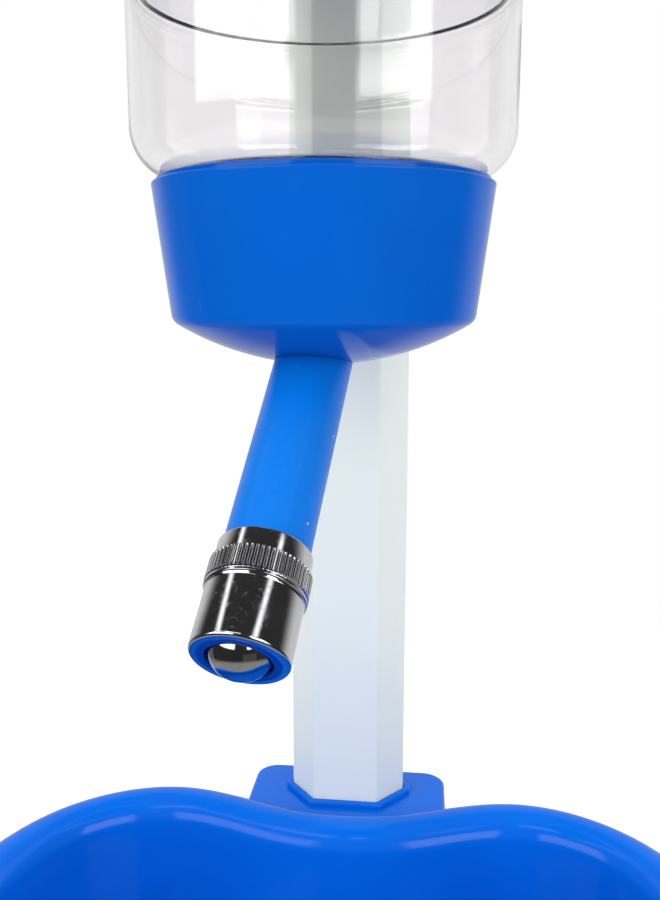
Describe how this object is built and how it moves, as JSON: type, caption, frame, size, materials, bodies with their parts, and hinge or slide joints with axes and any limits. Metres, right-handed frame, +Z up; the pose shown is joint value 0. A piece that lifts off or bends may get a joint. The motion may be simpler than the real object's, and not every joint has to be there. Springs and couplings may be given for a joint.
{
  "type": "rabbit water bottle on a stand",
  "caption": "Free-standing small-animal drinker: a clear inverted bottle with a blue cap and an angled ball-valve spout, clamped to a flat-sided pole over a feed bowl.",
  "frame": {"origin": "centre of the whole outline's footprint, on the table under the rubber feet", "axes": "+Z up, along the pole and the bottle; -Y towards the front of the bowl, where the spout points; +X to the right seen from the front"},
  "size_m": [0.208, 0.2074, 0.3561],
  "materials": {
    "bowl_blue": "glossy moulded blue plastic",
    "cap_blue": "glossy moulded blue plastic, a little darker than the spout",
    "spout_blue": "semi-gloss bright blue plastic",
    "pole_white": "satin bluish-white coating",
    "holder_blue": "glossy moulded blue plastic",
    "bottle_clear": "clear blown plastic, smooth",
    "chrome": "polished chrome with a fine knurl",
    "steel": "bright steel",
    "ball_steel": "polished stainless steel",
    "brass": "machined brass",
    "black_rubber": "matte black rubber",
    "white_silicone": "matte translucent white silicone",
    "natural_plastic": "matte natural plastic"
  },
  "bodies": {
    "stand": {"bowl_base": "bowl_blue", "rubber_foot_1": "black_rubber", "rubber_foot_2": "black_rubber", "rubber_foot_3": "black_rubber", "rubber_foot_4": "black_rubber", "pole": "pole_white", "pole_top_cap": "holder_blue", "pole_foot_plug": "natural_plastic", "pole_screw": "steel", "pole_washer": "steel"},
    "carriage": {"bottle_carriage": "holder_blue", "clamp_nut": "brass"},
    "clamp_tip": {"clamp_pad": "natural_plastic"},
    "knob": {"clamp_screw": "steel", "clamp_knob": "holder_blue"},
    "band": {"grip_band": "black_rubber"},
    "bottle": {"bottle": "bottle_clear"},
    "seal": {"cap_gasket": "white_silicone"},
    "cap": {"cap": "cap_blue", "spout_tube": "spout_blue", "spout_o_ring": "black_rubber", "valve_spring": "steel"},
    "valve_seat": {"valve_washer": "black_rubber"},
    "nozzle": {"nozzle_insert": "spout_blue", "nozzle_sleeve": "chrome"},
    "pin": {"valve_pin": "natural_plastic"},
    "ball": {"valve_ball": "ball_steel"}
  },
  "joints": [
    {"name": "height_slide", "type": "slide", "parent": "stand", "child": "carriage", "axis": [0, 0, 1], "range_m": [-0.07, 0.036]},
    {"name": "clamp_pad_slide", "type": "slide", "parent": "carriage", "child": "clamp_tip", "axis": [0, 1, 0], "range_m": [0, 0.002]},
    {"name": "knob_turn", "type": "hinge", "parent": "clamp_tip", "child": "knob", "pos_m": [-0.00137, 0.09694, 0.296], "axis": [0, 1, 0], "range_deg": [0, 720]},
    {"name": "bottle_lift", "type": "slide", "parent": "carriage", "child": "band", "axis": [0, 0, 1], "range_m": [0, 0.17]},
    {"name": "bottle_turn", "type": "hinge", "parent": "band", "child": "bottle", "pos_m": [-0.00137, 0.00694, 0.3], "axis": [0, 0, 1], "range_deg": [-55, 55]},
    {"name": "gasket_drop", "type": "slide", "parent": "bottle", "child": "seal", "axis": [0, 0, 1], "range_m": [-0.0027, 0]},
    {"name": "cap_turn", "type": "hinge", "parent": "seal", "child": "cap", "pos_m": [-0.00137, 0.00694, 0.207], "axis": [0, 0, 1], "range_deg": [-80, 0]},
    {"name": "nozzle_drop", "type": "slide", "parent": "cap", "child": "valve_seat", "axis": [-0.0801, -0.7618, -0.6428], "range_m": [0, 0.003]},
    {"name": "nozzle_turn", "type": "hinge", "parent": "valve_seat", "child": "nozzle", "pos_m": [-0.00698, -0.04639, 0.1475], "axis": [-0.0801, -0.7618, -0.6428], "range_deg": [0, 720]},
    {"name": "plunger_travel", "type": "slide", "parent": "nozzle", "child": "pin", "axis": [0.0801, 0.7618, 0.6428], "range_m": [0, 0.0015], "stiffness_N_per_m": 150, "springref_m": -0.002, "deforming": ["valve_spring"]},
    {"name": "ball_roll", "type": "hinge", "parent": "pin", "child": "ball", "pos_m": [-0.00766, -0.05294, 0.14198], "axis": [0.9945, -0.1045, 0], "continuous": true}
  ],
  "couplings": [
    {"joint": "clamp_pad_slide", "follows": "knob_turn", "m_per_rad": 0.00015915},
    {"joint": "gasket_drop", "follows": "cap_turn", "m_per_rad": 0.0019099},
    {"joint": "nozzle_drop", "follows": "nozzle_turn", "m_per_rad": 0.00023873}
  ]
}
